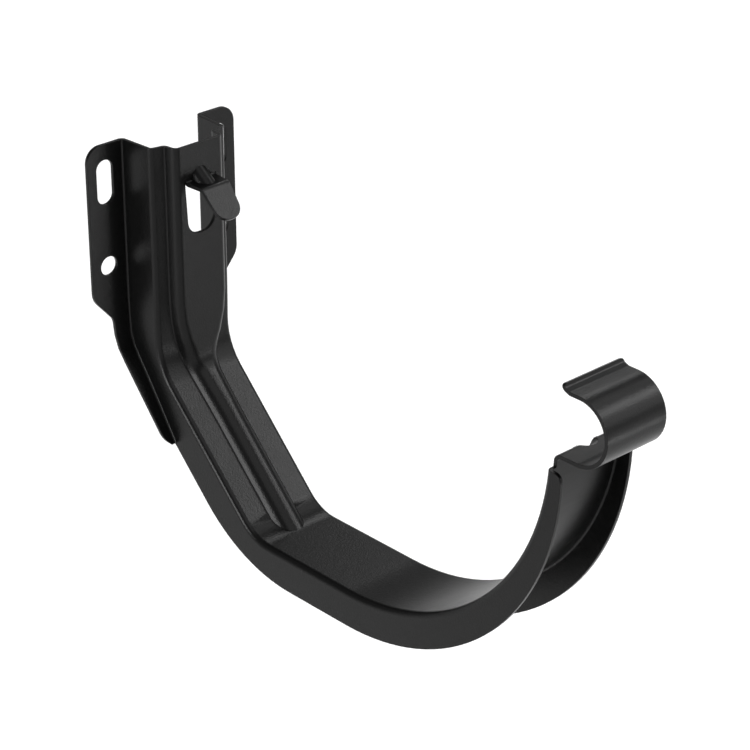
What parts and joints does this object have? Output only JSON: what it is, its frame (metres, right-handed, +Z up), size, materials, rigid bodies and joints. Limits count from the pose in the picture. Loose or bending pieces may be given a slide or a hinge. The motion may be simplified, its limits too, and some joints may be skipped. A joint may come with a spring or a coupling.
{
  "type": "gutter bracket",
  "caption": "Fascia bracket that cradles a half-round gutter: a flanged pressed stem with a tongue, a slanted ribbed channel curving up to a front hook over the gutter's bead.",
  "frame": {"origin": "on the fascia plane, midway between the two round fixing holes", "axes": "+Z up, +Y into the fascia board so that the gutter hangs on the -Y side, +X along the gutter"},
  "size_m": [0.0558, 0.1911, 0.124],
  "materials": {
    "powder_coated_steel": "fine-grained satin powder coat"
  },
  "bodies": {
    "root": {"bracket": "powder_coated_steel"}
  },
  "joints": []
}
